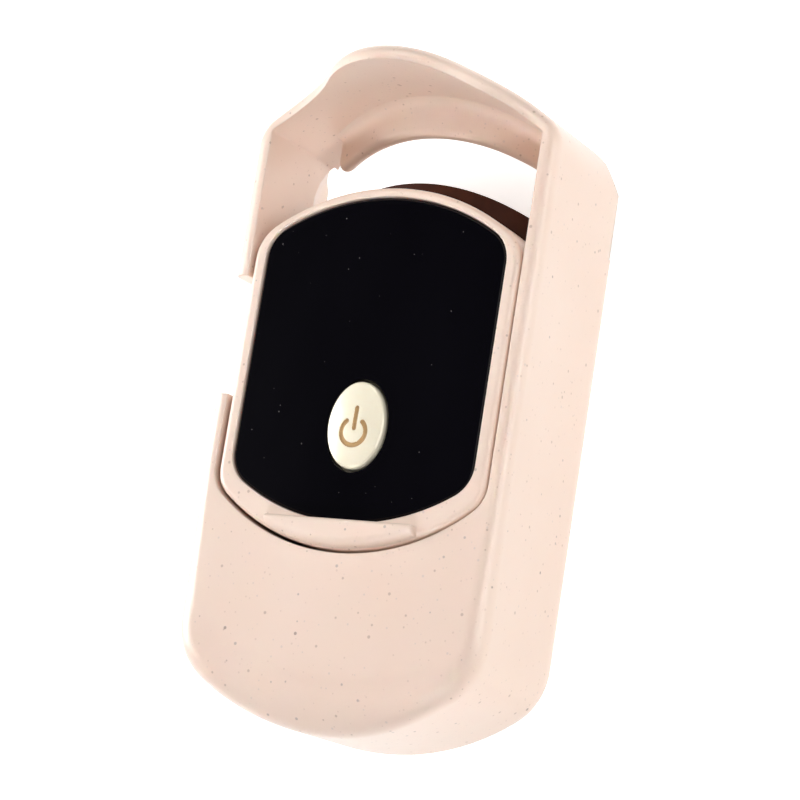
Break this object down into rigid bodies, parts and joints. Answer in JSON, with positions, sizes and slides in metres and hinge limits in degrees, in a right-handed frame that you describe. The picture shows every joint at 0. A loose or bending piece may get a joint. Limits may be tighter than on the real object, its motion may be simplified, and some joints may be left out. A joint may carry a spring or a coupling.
{
  "type": "heated eyelash curler",
  "caption": "Pocket heated eyelash curler: arched case with a fixed upper jaw and a thumb slide that lifts a curved heated pad, with a power button.",
  "frame": {"origin": "on the flat back face, under the middle of the object's outline", "axes": "+X to the object's right seen from the front, +Y along the length towards the arch, +Z out of the front face; the object lies on its back"},
  "size_m": [0.0374, 0.0738, 0.0278],
  "materials": {
    "case_pink": "semi-gloss speckled pale pink",
    "slider_pink": "semi-gloss speckled pale pink",
    "rail_white": "matte",
    "screw_steel": "satin",
    "spring_steel": "satin",
    "soft_rubber": "matte",
    "panel_black": "high gloss",
    "button_gold": "polished pale gold",
    "pad_brown": "satin silicone",
    "heater_aluminium": "satin",
    "carrier_dark": "matte",
    "heater_ceramic": "matte ceramic",
    "board_green": "solder mask",
    "chip_black": "matte",
    "led_white": "clear",
    "socket_steel": "satin",
    "battery_foil": "satin foil",
    "tape_white": "foam tape",
    "lead_red": "insulation",
    "lead_white": "insulation"
  },
  "bodies": {
    "case": {"frame_shell": "case_pink", "upper_jaw": "case_pink", "back_cover": "case_pink", "case_screws": "screw_steel", "guide_rail_left": "rail_white", "guide_rail_right": "rail_white", "spring_posts": "screw_steel", "return_springs": "spring_steel", "stop_bumpers": "soft_rubber"},
    "slider": {"slider_bezel": "slider_pink", "slider_housing": "slider_pink", "front_panel": "panel_black", "lash_pad": "pad_brown", "heater_plate": "heater_aluminium", "pad_carrier": "carrier_dark", "heater_element": "heater_ceramic", "thermistor": "heater_ceramic", "circuit_board": "board_green", "slider_screws": "screw_steel", "board_posts": "slider_pink", "control_chip": "chip_black", "tact_switch": "chip_black", "indicator_led": "led_white", "usb_socket": "socket_steel", "battery_cell": "battery_foil", "battery_tape": "tape_white", "battery_leads": "lead_red", "heater_leads": "lead_white"},
    "button": {"power_button": "button_gold"}
  },
  "joints": [
    {"name": "slider_slide", "type": "slide", "parent": "case", "child": "slider", "axis": [0, 1, 0], "range_m": [0, 0.0055], "stiffness_N_per_m": 300, "springref_m": -0.004, "deforming": ["return_springs"]},
    {"name": "power_button_press", "type": "slide", "parent": "slider", "child": "button", "axis": [0, 0, -1], "range_m": [0, 0.0006], "stiffness_N_per_m": 800, "springref_m": -0.0005}
  ]
}
